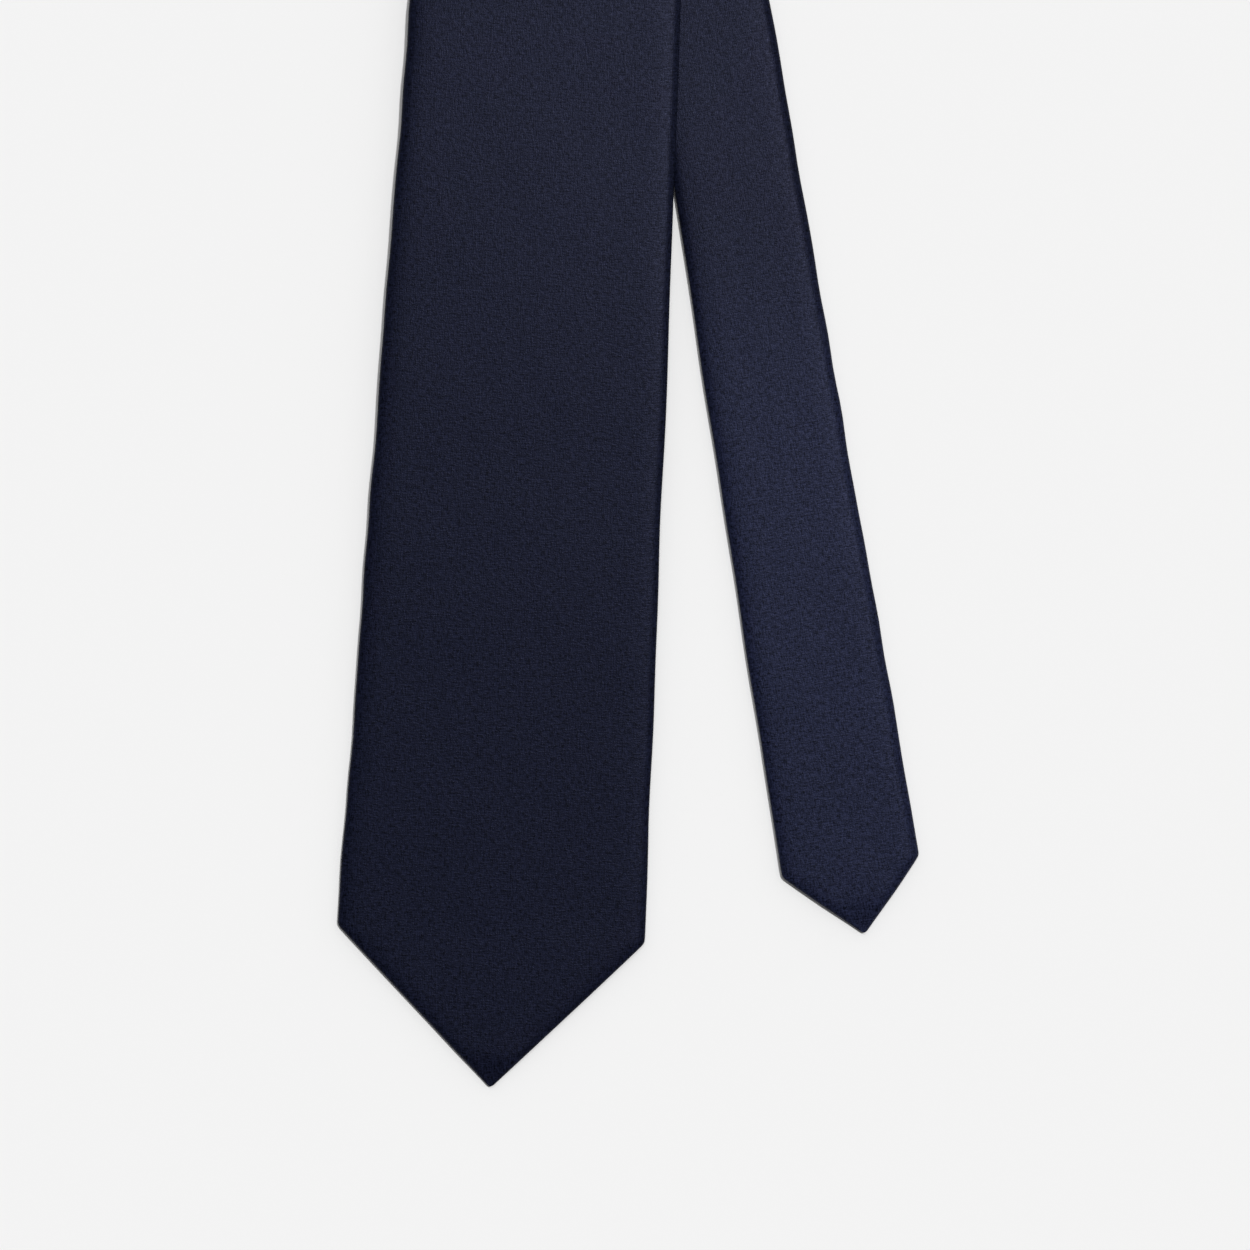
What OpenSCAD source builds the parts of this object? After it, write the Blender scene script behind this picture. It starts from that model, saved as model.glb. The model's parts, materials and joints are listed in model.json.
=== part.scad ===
// Necktie with 90-degree points, laid flat with its neck doubled into a two-cornered loop.
// Millimetres. +X is to the right, +Y runs from the points to the neck, +Z is up from the table.
// Both blades lie face up and the front blade crosses over the tail. The neck lies face down
// between two mitred folds: the front blade turns over it, and the tail turns under it.

/* [Tie] */
// Length from point to point along the middle of the strip
tie_length = 1480; // [1420:10:1540]
// Front blade's width at its shoulders
front_width = 80; // [70:1:90]
// Tail's width at its shoulders
tail_width = 36; // [33:1:42]
// Width of the narrow part that goes round the neck
neck_width = 31; // [28:1:34]
// Sideways shift of the front point from the blade's middle
point_shift = 2.1; // [0:0.1:4]

/* [Lie] */
// Lean of the front blade to the right of +Y, in degrees
front_lean = 3.37; // [2:0.01:5]
// Lean of the front blade above the crossing, in degrees
front_upper_lean = 12; // [10:0.5:14]
// Lean of the tail to the left of +Y, in degrees
tail_lean = 9.45; // [8:0.05:11]
// Lean of the tail above the crossing, in degrees
tail_upper_lean = 15; // [13:0.5:16]
// Distance from the front point to the tail point along X
tail_x = 96.5; // [90:0.5:105]
// Distance from the front point to the tail point along Y
tail_y = 39.7; // [30:0.1:50]

/* [Cloth] */
// Thickness of the whole strip
strip_t = 3; // [2.9:0.1:3.2]
// Thickness of the silk
silk_t = 0.3; // [0.28:0.01:0.3]
// Radius of the neck folds at the middle of the strip
fold_r = 2.2; // [2.1:0.1:2.4]
// Width of the hem that is turned in along the points
hem_w = 5.7; // [5:0.1:6.5]
// How far the upper back flap reaches past the middle
flap_past = 4; // [3:0.5:5]
// How far the lower back flap reaches past the middle
tuck_past = 6; // [5.5:0.5:6.5]

/* [Trimmings] */
// Distance from the front point to the keeper's lower edge
keeper_s = 200; // [198:1:203]
// Width of the keeper's band
keeper_band = 11; // [9:0.5:12]
// Half of the keeper's length across the blade
keeper_half = 24; // [22:0.5:25]
// Distance from the front point to the label's lower edge
label_s = 245; // [243:1:250]
// Height of the label along the blade
label_h = 32; // [26:1:34]
// Half of the label's width
label_half = 19; // [15:1:19]

/* [Hidden] */

silk_colour = [0.10, 0.12, 0.19];
thread_colour = [0.07, 0.08, 0.13];
wool_colour = [0.86, 0.84, 0.78];
lining_colour = [0.12, 0.13, 0.20];
label_colour = [0.16, 0.17, 0.24];
tag_colour = [0.92, 0.92, 0.90];

half_t = strip_t / 2;        // face at +half_t, back at -half_t
gap = 0.05;                  // air between two layers of cloth
blade_taper = 0.041;         // loss of width for each millimetre above the shoulders
tail_taper = 0.0173;
neck_starts = 260;           // where each blade starts to narrow into the neck
neck_narrows = 500;          // the length over which the front blade does so
tail_neck_starts = 220;
tail_narrows = 200;
bend_s = 330;                // where the front blade starts to curve sideways
bend_length = 230;
tail_bend_s = 260;
tail_bend_length = 200;
fold_apron = 8;              // flat cloth kept on each side of a neck fold, square to its crease
tail_panel_s = 450;          // the tail's piecing seam, from the tail's point
seam_skew_length = 60;       // the length over which stations turn to the seam's 45 degrees
skew_length = 70;            // the length over which stations turn parallel to a crease
over_tail_z = half_t + strip_t + 0.5;  // middle of the front blade where it lies on the tail
layer_z = half_t + 2 * fold_r;         // middle of the upper layer at a neck fold
crease_z = half_t + fold_r;            // height of the creases, between two layers

// ---- Small helpers ----
function clamp01(t) = min(1, max(0, t));
function ease(t) = let (c = clamp01(t)) c * c * (3 - 2 * c);
function mix(a, b, t) = a + (b - a) * t;
function unit(v) = v / norm(v);
function flat3(p, z = 0) = [p[0], p[1], z];

// ---- Plan of the legs: a straight run, a gentle sideways arc, then a straight run ----
function lean_at(lean0, lean1, s0, run, s) = mix(lean0, lean1, clamp01((s - s0) / run));
function leg_point(from, lean0, lean1, s0, run, s) =
    let (straight = min(s, s0),
         on_arc = min(max(s - s0, 0), run),
         past = max(s - s0 - run, 0),
         lean = lean_at(lean0, lean1, s0, run, s0 + on_arc),
         r = run / ((lean1 - lean0) * PI / 180))
    from + straight * [sin(lean0), cos(lean0)]
    + r * [cos(lean0) - cos(lean), sin(lean) - sin(lean0)]
    + past * [sin(lean1), cos(lean1)];

function front_lean_at(s) = lean_at(front_lean, front_upper_lean, bend_s, bend_length, s);
function front_point(s) = leg_point([-point_shift, 0], front_lean, front_upper_lean, bend_s, bend_length, s);
function tail_lean_at(t) = -lean_at(tail_lean, tail_upper_lean, tail_bend_s, tail_bend_length, t);
function tail_point(t) = leg_point([tail_x, tail_y], -tail_lean, -tail_upper_lean, tail_bend_s, tail_bend_length, t);

// ---- The two mitred folds. The neck runs straight along -X between them ----
neck_dir = [-1, 0];
front_up = [sin(front_upper_lean), cos(front_upper_lean)];
tail_up = [-sin(tail_upper_lean), cos(tail_upper_lean)];
front_crease = unit(front_up + neck_dir);
front_out = unit(front_up - neck_dir);
tail_crease = unit(tail_up - neck_dir);
tail_out = unit(tail_up + neck_dir);
front_turn = (front_up * front_crease) / (front_up * front_out);  // tangent of the miter's angle
tail_turn = (tail_up * tail_crease) / (tail_up * tail_out);
around = PI * fold_r;
front_slip = around * front_turn * front_crease;  // how far the strip slides along its crease
tail_slip = around * tail_turn * tail_crease;
front_round = around * sqrt(1 + front_turn * front_turn);
tail_round = around * sqrt(1 + tail_turn * tail_turn);

// The tail meets its crease at the height that brings the neck in level with the front's.
function tail_length_for(s) =
    let (y = (front_point(s) + front_slip - tail_slip)[1],
         y0 = tail_point(tail_bend_s + tail_bend_length)[1])
    tail_bend_s + tail_bend_length + (y - y0) / tail_up[1];
function length_for(s) =
    let (t = tail_length_for(s))
    s + front_round + tail_round + t
    + (front_point(s) + front_slip - tail_point(t) - tail_slip)[0];
trial_a = 700;
trial_b = 800;
front_length = mix(trial_a, trial_b,
                   (tie_length - length_for(trial_a)) / (length_for(trial_b) - length_for(trial_a)));
tail_length = tail_length_for(front_length);
front_corner = front_point(front_length);
tail_corner = tail_point(tail_length);
neck_start = front_corner + front_slip;
neck_end = tail_corner + tail_slip;
neck_length = norm(neck_end - neck_start);

// ---- Width of the strip ----
function taper(wide, rate, shoulder, from, run, s) =
    let (line = wide - rate * (s - shoulder))
    neck_width + (line - neck_width) * (1 - ease((s - from) / run));
front_shoulder = front_width / 2;
tail_shoulder = tail_width / 2;
function front_half(s) = s < front_shoulder ? s
    : taper(front_width, blade_taper, front_shoulder, neck_starts, neck_narrows, s) / 2;
function tail_half(t) = t < tail_shoulder ? t
    : taper(tail_width, tail_taper, tail_shoulder, tail_neck_starts, tail_narrows, t) / 2;

// ---- Height of the middle of the strip ----
front_heights = [[0, half_t], [40, half_t + 0.3], [84, half_t + 1], [120, half_t + 1.8], [180, half_t + 2.9],
                 [230, over_tail_z], [600, over_tail_z], [680, layer_z]];
rise_from = 0.25;            // the neck climbs between these shares of its length
rise_to = 0.75;

// ---- Stations: [centre, sideways vector for each mm of u, face normal, half width, place] ----
// Station lists share these places, so that every layer has the same facets.
tipped_front = 96;           // how far the tipping reaches up each blade
tipped_tail = 52;
front_places = [2.3, 5, 10, 20, 30, 40, 50, 62, 73, 84, tipped_front + 1, tipped_front + 2, 120, 150, 180, 205,
                230, 260, 300, 330, 368, 406, 445, 483, 521, 560, 600, 630, 655, 680, 700, 715];
tail_places = [2.3, 5, 9, 13.5, 18, 24, 31, 38, 46, tipped_tail + 1, tipped_tail + 2, 80, 120, 165, 210, 260,
               300, 340, 380, 420, 460, 500, 530, 555, 575];
neck_places = [rise_from, 0.3, 0.35, 0.4, 0.45, 0.5, 0.55, 0.6, 0.65, 0.7, rise_to];

function between(places, a, b) = concat([a], [for (p = places) if (p > a + 0.5 && p < b - 0.5) p], [b]);

front_end = front_length - fold_apron * sqrt(1 + front_turn * front_turn);
tail_end = tail_length - fold_apron * sqrt(1 + tail_turn * tail_turn);
neck_from = fold_apron * sqrt(1 + front_turn * front_turn);
neck_to = neck_length - fold_apron * sqrt(1 + tail_turn * tail_turn);

function front_station(s) =
    let (lean = front_lean_at(s),
         up = [sin(lean), cos(lean)],
         side = [cos(lean), -sin(lean)],
         skew = -front_turn * clamp01((s - front_end + skew_length) / skew_length),
         shift = point_shift * (1 - clamp01(s / front_shoulder)))
    [flat3(front_point(s) + shift * side, lookup(s, front_heights)),
     flat3(side + skew * up), [0, 0, 1], front_half(s), s];

function tail_station(t) =
    let (lean = tail_lean_at(t),
         down = -[sin(lean), cos(lean)],
         side = [-cos(lean), sin(lean)],
         skew = tail_turn * clamp01((t - tail_end + skew_length) / skew_length)
              + clamp01(1 - abs(t - tail_panel_s) / seam_skew_length))
    [flat3(tail_point(t), half_t), flat3(side + skew * down), [0, 0, 1], tail_half(t), t];

function neck_station(x) =
    let (q = x / neck_length,
         side = [0, -1],
         from_front = neck_from / neck_length,
         to_tail = neck_to / neck_length,
         skew = q < rise_from ? -front_turn * clamp01((rise_from - q) / (rise_from - from_front))
              : tail_turn * clamp01((q - rise_to) / (to_tail - rise_to)),
         rise = ease((q - rise_from) / (rise_to - rise_from)))
    [flat3(neck_start + x * neck_dir, half_t + 2 * fold_r * rise),
     flat3(side + skew * neck_dir), [0, 0, -1], neck_width / 2, x];

// The bend of a fold, at the angle a from the upper layer (0) to the lower one (180).
function front_bend_station(a) =
    let (out = flat3(front_out), travel = fold_r * a * PI / 180 * front_turn)
    [flat3(front_corner + travel * front_crease, crease_z) + fold_r * (sin(a) * out + [0, 0, cos(a)]),
     front_station(front_end)[1], sin(a) * out + [0, 0, cos(a)], neck_width / 2, a];
function tail_bend_station(a) =
    let (out = flat3(tail_out), travel = fold_r * (180 - a) * PI / 180 * tail_turn)
    [flat3(tail_corner + travel * tail_crease, crease_z) + fold_r * (sin(a) * out + [0, 0, cos(a)]),
     neck_station(neck_to)[1], -(sin(a) * out + [0, 0, cos(a)]), neck_width / 2, a];

bend_step = 22.5;
front_fold_stations = concat([front_station(front_end)],
                             [for (a = [0 : bend_step : 180]) front_bend_station(a)],
                             [neck_station(neck_from)]);
tail_fold_stations = concat([neck_station(neck_to)],
                            [for (a = [0 : bend_step : 180]) tail_bend_station(a)],
                            [tail_station(tail_end)]);
function front_stations(a, b) = [for (s = between(front_places, a, b)) front_station(s)];
function neck_stations(a, b) = [for (x = between(neck_places * neck_length, a, b)) neck_station(x)];
// The tail is listed from its fold to its point, as the strip runs.
function tail_stations(a, b) =
    let (up = between(tail_places, a, b))
    [for (i = [len(up) - 1 : -1 : 0]) tail_station(up[i])];

// ---- Solids ----
// Where the drawing is moved to: the middle of the plan's box, at the table.
function at(station, u, h) = station[0] + u * station[1] + h * station[2];
function plan_corners(stations) =
    [for (s = stations, side = [-1, 1])
        each [at(s, side * s[3], 0), at(s, side * (s[3] - half_t), half_t), at(s, side * (s[3] - half_t), -half_t)]];
plan = concat(plan_corners(front_stations(front_places[0], front_end)), plan_corners(front_fold_stations),
              plan_corners(tail_fold_stations), plan_corners(tail_stations(tail_places[0], tail_end)));
plan_x = [for (p = plan) p[0]];
plan_y = [for (p = plan) p[1]];
middle = [(min(plan_x) + max(plan_x)) / 2, (min(plan_y) + max(plan_y)) / 2, 0];

// A closed sheet between an upper and a lower grid of points: one row for each station.
module sheet(upper, lower) {
    rows = len(upper);
    cols = len(upper[0]);
    below = rows * cols;
    points = [for (grid = [upper, lower], row = grid, p = row) p - middle];
    function corner(i, j) = i * cols + j;
    faces = concat(
        [for (i = [0 : rows - 2], j = [0 : cols - 2])
            let (a = corner(i, j), b = corner(i, j + 1), c = corner(i + 1, j + 1), d = corner(i + 1, j))
            each [[a, b, c], [a, c, d], [below + a, below + c, below + b], [below + a, below + d, below + c]]],
        [for (i = [0 : rows - 2])
            let (a = corner(i, 0), d = corner(i + 1, 0), b = corner(i, cols - 1), c = corner(i + 1, cols - 1))
            each [[a, d, below + d], [a, below + d, below + a], [c, b, below + b], [c, below + b, below + c]]],
        [for (j = [0 : cols - 2])
            let (a = corner(0, j), b = corner(0, j + 1), d = corner(rows - 1, j), c = corner(rows - 1, j + 1))
            each [[b, a, below + a], [b, below + a, below + b], [d, c, below + c], [d, below + c, below + d]]]);
    polyhedron(points, faces);
}

// A flat layer from u0 to u1 (functions of the station) between the heights h1 and h0.
module layer(stations, u0, u1, h0, h1) {
    sheet([for (s = stations) [for (u = [u1(s), u0(s)]) at(s, u, h1)]],
          [for (s = stations) [for (u = [u1(s), u0(s)]) at(s, u, h0)]]);
}

// ---- The silk envelope: a face, two rolled edges, and two back flaps that overlap ----
turn_r = silk_t + 0.04;                       // outer radius of the upper flap's turned edge
upper_roll = half_t;                          // the left edge rolls from the face to the upper flap
tuck_h = -half_t + 2 * turn_r + 0.02;         // outside of the lower flap
lower_roll = (half_t - tuck_h) / 2;           // the right edge rolls from the face to the lower flap
roll_steps = 4;

function hem(half) = min(hem_w, 0.9 * half);
function flap_edge(station, shoulder) =
    let (half = station[3]) min(flap_past, -half + hem(half) + max(0, station[4] - shoulder));
function tuck_edge(station, shoulder) =
    let (half = station[3]) max(-tuck_past, half - hem(half) - max(0, station[4] - shoulder));

// One side of the envelope's section. inset is 0 for the outside and silk_t for the inside.
function envelope_side(half, flap, tuck, inset) =
    let (left = -half + upper_roll,
         right = half - lower_roll,
         lower_r = lower_roll - inset,
         upper_r = upper_roll - inset,
         small_r = turn_r - inset,
         turned = min(tuck_past, 0.6 * (flap - left)),
         mid = (half_t + tuck_h) / 2,
         fold_u = flap - turn_r,
         fold_h = -half_t + turn_r)
    concat([[tuck, tuck_h + inset]],
           [for (i = [0 : roll_steps]) let (a = -90 + 180 * i / roll_steps)
               [right + lower_r * cos(a), mid + lower_r * sin(a)]],
           [for (i = [0 : roll_steps]) let (a = 90 + 180 * i / roll_steps)
               [left + upper_r * cos(a), upper_r * sin(a)]],
           [for (a = [-90, 0, 90]) [fold_u + small_r * cos(a), fold_h + small_r * sin(a)]],
           [[flap - turned, fold_h + small_r]]);

// The shoulder is where a blade's point starts; a strip with no point has it at -1000.
module envelope(stations, shoulder = -1000) {
    rows = [for (inset = [0, silk_t]) [for (s = stations)
        [for (p = envelope_side(s[3], flap_edge(s, shoulder), tuck_edge(s, shoulder), inset)) at(s, p[0], p[1])]]];
    sheet(rows[0], rows[1]);
}

// ---- The interlining: thick under the upper flap, thinner over the lower flap and the tipping ----
face_inside = half_t - silk_t;
tuck_inside = tuck_h + silk_t;
tipping_t = 0.25;
lining_side = gap + 0.15;
function thick_h(station, tipped_to) = station[4] < tipped_to ? tuck_inside + tipping_t + 2 * gap
    : -half_t + silk_t + gap;
function thin_h(station, tipped_to) = tuck_inside + gap + (station[4] < tipped_to ? tipping_t + gap : 0);

module interlining(stations, tipped_to = -1000) {
    function across(s) = [s[3] - lower_roll - lining_side,
                          -min(tuck_past + 0.6, s[3] - upper_roll - 0.4),
                          -min(tuck_past + 1.5, s[3] - upper_roll - 0.25),
                          -(s[3] - upper_roll - gap)];
    function below(s) = [thin_h(s, tipped_to), thin_h(s, tipped_to), thick_h(s, tipped_to), thick_h(s, tipped_to)];
    sheet([for (s = stations) [for (u = across(s)) at(s, u, face_inside - gap)]],
          [for (s = stations) [for (i = [0 : 3]) at(s, across(s)[i], below(s)[i])]]);
}

// ---- The tipping: lining cloth that shows in the diamond at the back of a point ----
tipping_in = 3;
module tipping(stations) {
    layer(stations, function (s) -(s[3] - tipping_in), function (s) s[3] - tipping_in,
          tuck_inside + gap, tuck_inside + gap + tipping_t);
}

// ---- Threads ----
thread_t = 0.28;
thread_u = -4.3;
// The slip stitch runs between the two back flaps, beside the turned edge.
module slip_stitch(stations) {
    base = -half_t + silk_t + gap;
    layer(stations, function (s) thread_u - thread_t / 2, function (s) thread_u + thread_t / 2,
          base, base + thread_t);
}

// A row of short stitches across the strip. Each is [u0, u1, s0, s1] on the back, from h0 up to h1.
module stitches(list, h0, h1) {
    for (c = list)
        layer([front_station(c[2]), front_station(c[3])], function (s) c[0], function (s) c[1], h0, h1);
}

// A bar tack closes the notch where the two flaps meet, with bars that shorten into the corner.
bars = 5;
bar_pitch = 0.62;
bar_w = 0.42;
corner_to_bar = 0.75;
function bar_rows(corner) =
    [for (i = [0 : bars - 1]) let (s = corner - corner_to_bar - i * bar_pitch) [s - bar_w, s]];
module bar_tack(pairs, shoulder) {
    for (pair = pairs) {
        left = max([for (s = pair) flap_edge(s, shoulder)]) + gap;
        right = min([for (s = pair) tuck_edge(s, shoulder)]) - gap;
        layer(pair, function (s) left, function (s) right, -half_t + 0.1, tuck_inside - 0.1);
    }
}
// Where the two flaps' edges meet on the middle of the blade.
function notch(shoulder, half) = shoulder + half - hem_w;
front_notch = notch(front_shoulder, front_half(notch(front_shoulder, front_shoulder)));
tail_notch = notch(tail_shoulder, tail_half(notch(tail_shoulder, tail_shoulder)));

// A seam joins two panels edge to edge: a fine line of thread in the joint.
seam_w = 0.3;
module piecing_seam(first, last) {
    envelope([first, last]);
}

// ---- Parts ----
front_panel_end = front_end - seam_w - 2 * gap;
lining_start = 6.2;

module front_panel() {
    color(silk_colour) envelope(front_stations(front_places[0], front_panel_end), front_shoulder);
}
module front_piecing_seam() {
    color(thread_colour) piecing_seam(front_station(front_panel_end + gap), front_station(front_end - gap));
}
module front_fold_panel() {
    color(silk_colour) envelope(front_fold_stations);
}
module neck_panel() {
    color(silk_colour) envelope(neck_stations(neck_from + gap, neck_to - gap));
}
module tail_fold_panel() {
    color(silk_colour) envelope(tail_fold_stations);
}
module tail_neck_panel() {
    color(silk_colour) envelope(tail_stations(tail_panel_s + seam_w + 2 * gap, tail_end - gap));
}
module tail_piecing_seam() {
    color(thread_colour) piecing_seam(tail_station(tail_panel_s + seam_w + gap), tail_station(tail_panel_s + gap));
}
module tail_panel() {
    color(silk_colour) envelope(tail_stations(tail_places[0], tail_panel_s), tail_shoulder);
}

module front_interlining() {
    color(wool_colour) interlining(front_stations(lining_start, front_end - gap), tipped_front + 1.5);
}
module front_fold_interlining() {
    color(wool_colour) interlining(front_fold_stations);
}
module neck_interlining() {
    color(wool_colour) interlining(neck_stations(neck_from + gap, neck_to - gap));
}
module tail_fold_interlining() {
    color(wool_colour) interlining(tail_fold_stations);
}
module tail_interlining() {
    color(wool_colour) interlining(tail_stations(lining_start, tail_end - gap), tipped_tail + 1.5);
}

module front_tipping() {
    color(lining_colour) tipping(front_stations(lining_start, tipped_front));
}
module tail_tipping() {
    color(lining_colour) tipping(tail_stations(lining_start, tipped_tail));
}

module front_bar_tack() {
    color(thread_colour)
        bar_tack([for (row = bar_rows(front_notch)) [front_station(row[0]), front_station(row[1])]],
                 front_shoulder);
}
module tail_bar_tack() {
    color(thread_colour)
        bar_tack([for (row = bar_rows(tail_notch)) [tail_station(row[1]), tail_station(row[0])]], tail_shoulder);
}
module front_slip_stitch() {
    color(thread_colour) slip_stitch(front_stations(front_notch + 12, front_end - gap));
}
module neck_slip_stitch() {
    color(thread_colour) slip_stitch(neck_stations(neck_from + gap, neck_to - gap));
}
module tail_slip_stitch() {
    color(thread_colour) slip_stitch(tail_stations(tail_notch + 12, tail_end - gap));
}

label_h0 = -half_t - gap - 0.3;
tag_h0 = -half_t - gap - 0.2;
stitch_t = 0.12;
module brand_label() {
    color(label_colour)
        layer(front_stations(label_s, label_s + label_h), function (s) -label_half, function (s) label_half,
              label_h0, -half_t - gap);
}
module label_stitches() {
    inset = 1.2;
    length = 2;
    color(thread_colour)
        stitches([for (side = [-1, 1], i = [0 : 6]) let (s0 = label_s + 2 + i * (label_h - 4 - length) / 6)
                     [side * (label_half - inset) - 0.15, side * (label_half - inset) + 0.15, s0, s0 + length]],
                 label_h0 - stitch_t - 0.02, label_h0 - 0.02);
}
tag_half = 8;
tag_s = keeper_s + keeper_band + 4;
tag_h = 22;
module care_tag() {
    color(tag_colour)
        layer(front_stations(tag_s, tag_s + tag_h), function (s) -tag_half, function (s) tag_half,
              tag_h0, -half_t - gap);
}
module care_tag_stitches() {
    color(thread_colour)
        stitches([for (i = [0 : 5]) let (u = -tag_half + 1.2 + i * (2 * tag_half - 4.4) / 5)
                     [u, u + 2, tag_s + tag_h - 1.6, tag_s + tag_h - 1.3]],
                 tag_h0 - stitch_t - 0.02, tag_h0 - 0.02);
}

// The keeper: a doubled band across the back that the tail tucks into.
keeper_t = 0.8;
keeper_h1 = -half_t - 0.1;
module keeper_loop() {
    color(silk_colour)
        layer(front_stations(keeper_s, keeper_s + keeper_band), function (s) -keeper_half,
              function (s) keeper_half, keeper_h1 - keeper_t, keeper_h1);
}
module keeper_stitches() {
    color(thread_colour)
        stitches([for (side = [-1, 1], i = [0 : 3]) let (u = side * (keeper_half + 1.3), s0 = keeper_s + 0.8 + i * 2.9)
                     [u - 0.8, u + 0.8, s0, s0 + 0.6]],
                 keeper_h1 - keeper_t, keeper_h1);
}

neck_panel();
neck_interlining();
neck_slip_stitch();
front_fold_panel();
front_fold_interlining();
tail_fold_panel();
tail_fold_interlining();
front_panel();
front_interlining();
front_tipping();
front_bar_tack();
front_slip_stitch();
front_piecing_seam();
brand_label();
label_stitches();
care_tag();
care_tag_stitches();
keeper_stitches();
keeper_loop();
tail_neck_panel();
tail_piecing_seam();
tail_panel();
tail_interlining();
tail_tipping();
tail_bar_tack();
tail_slip_stitch();
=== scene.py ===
"""A dark navy silk necktie, laid flat and seen from straight above.
Lengths are in millimetres; a mesh is scaled to metres when it is made."""

import json
import math

import bpy
import numpy as np
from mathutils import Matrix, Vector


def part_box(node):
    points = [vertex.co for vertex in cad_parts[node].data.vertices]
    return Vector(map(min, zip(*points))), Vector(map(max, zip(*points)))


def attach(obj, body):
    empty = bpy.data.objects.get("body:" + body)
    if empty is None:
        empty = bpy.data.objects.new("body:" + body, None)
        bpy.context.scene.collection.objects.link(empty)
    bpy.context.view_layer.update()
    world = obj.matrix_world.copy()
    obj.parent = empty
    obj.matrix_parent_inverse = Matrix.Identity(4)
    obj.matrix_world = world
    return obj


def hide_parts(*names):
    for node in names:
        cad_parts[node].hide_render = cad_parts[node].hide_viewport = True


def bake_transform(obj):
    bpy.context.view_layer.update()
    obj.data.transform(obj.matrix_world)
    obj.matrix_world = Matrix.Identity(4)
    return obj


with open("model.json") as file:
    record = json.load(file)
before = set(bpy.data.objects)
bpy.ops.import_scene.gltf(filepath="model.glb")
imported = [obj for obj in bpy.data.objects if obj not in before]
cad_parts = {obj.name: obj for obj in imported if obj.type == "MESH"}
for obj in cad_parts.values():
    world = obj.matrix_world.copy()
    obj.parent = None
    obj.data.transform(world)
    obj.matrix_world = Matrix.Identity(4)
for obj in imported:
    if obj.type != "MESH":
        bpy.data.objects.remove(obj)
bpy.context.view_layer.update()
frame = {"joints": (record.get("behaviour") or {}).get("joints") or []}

MM = 0.001
JOINTS = {joint["name"]: joint for joint in frame["joints"]}


def box_mm(node):
    """The lowest and the highest corner of a CAD node."""
    low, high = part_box(node)
    return np.array(low) / MM, np.array(high) / MM


# ---------------------------------------------------------------- The strip, as the CAD drives it
TIE_LENGTH = 1480.0
FRONT_WIDTH, TAIL_WIDTH, NECK_WIDTH = 80.0, 36.0, 31.0
FRONT_SHOULDER, TAIL_SHOULDER = FRONT_WIDTH / 2, TAIL_WIDTH / 2
FRONT_TAPER, TAIL_TAPER = 0.041, 0.0173
POINT_SHIFT, TAIL_POINT_SHIFT = 2.1, 0.65                       # how far each point is to one side
TAIL_FROM_FRONT = np.array([96.5 + POINT_SHIFT, 39.7])          # from the front's start to the tail's
FRONT_BEND, TAIL_BEND = (330.0, 230.0), (260.0, 200.0)          # where a sideways arc starts, its length
FRONT_NARROWS, TAIL_NARROWS = (260.0, 500.0), (220.0, 200.0)    # where a blade starts to narrow, over how far
SKEW_RUN, SEAM_SKEW_RUN = 70.0, 60.0
TAIL_SEAM = 450.0
RISE = (0.25, 0.75)                                             # the share of the neck over which it rises
FOLD_APRON = 8.0                                                # how far a fold's piece goes past its crease
SEAM_W, GAP = 0.3, 0.05
SEAM_ROOM = SEAM_W + 2 * GAP

SILK_T = 0.3
STRIP_T = (box_mm("tail_panel")[1] - box_mm("tail_panel")[0])[2]
HALF_T = STRIP_T / 2
FOLD_R = (box_mm("neck_panel")[1][2] - STRIP_T) / 2
CREASE_Z = HALF_T + FOLD_R
AROUND = math.pi * FOLD_R
HEM_W, FLAP_PAST, TUCK_PAST = 5.7, 4.0, 6.0
TURN_R = SILK_T + 0.04                                          # the upper flap's turned edge
TUCK_H = -HALF_T + 2 * TURN_R + 0.02                            # outside of the lower flap
UPPER_ROLL, LOWER_ROLL = HALF_T, (HALF_T - TUCK_H) / 2
UPPER_ROLL_X, LOWER_ROLL_X = 2.5, 2.2                           # a rolled edge is wider than it is high
TIPPED_FRONT, TIPPED_TAIL = 96.0, 52.0
TIPPING_IN, TIPPING_T = 3.0, 0.25
LINING_START = 6.2


def clamp01(t):
    return np.clip(t, 0.0, 1.0)


def ease(t):
    c = clamp01(t)
    return c * c * (3 - 2 * c)


class Crease:
    """A mitred neck fold. Its joint's axis runs beside the crease, outside it by half the bend's length."""

    def __init__(self, joint, outside):
        self.along = np.array(JOINTS[joint]["axis"][:2])
        self.out = outside * np.array([self.along[1], -self.along[0]])
        self.corner = np.array(JOINTS[joint]["pos_m"][:2]) / MM - AROUND / 2 * self.out
        self.turn = abs((NECK_DIR @ self.along) / (NECK_DIR @ self.out))
        self.leg = 2 * (NECK_DIR @ self.along) * self.along - NECK_DIR    # the strip's way on the far side
        self.slip = AROUND * self.turn * self.along
        self.stretch = math.sqrt(1 + self.turn ** 2)
        self.round = AROUND * self.stretch
        self.apron = FOLD_APRON * self.stretch


NECK_DIR = np.array([-1.0, 0.0])
FRONT_CREASE = Crease("front_unfold", 1)
TAIL_CREASE = Crease("tail_unfold", -1)
FRONT_LEANS = (math.radians(3.37), math.atan2(FRONT_CREASE.leg[0], FRONT_CREASE.leg[1]))
TAIL_LEANS = (math.radians(-9.45), math.atan2(-TAIL_CREASE.leg[0], -TAIL_CREASE.leg[1]))


def lean_at(leans, bend, s):
    """How far a leg leans at s, which changes from its first lean to its second over its bend."""
    return leans[0] + (leans[1] - leans[0]) * clamp01((s - bend[0]) / bend[1])


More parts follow.
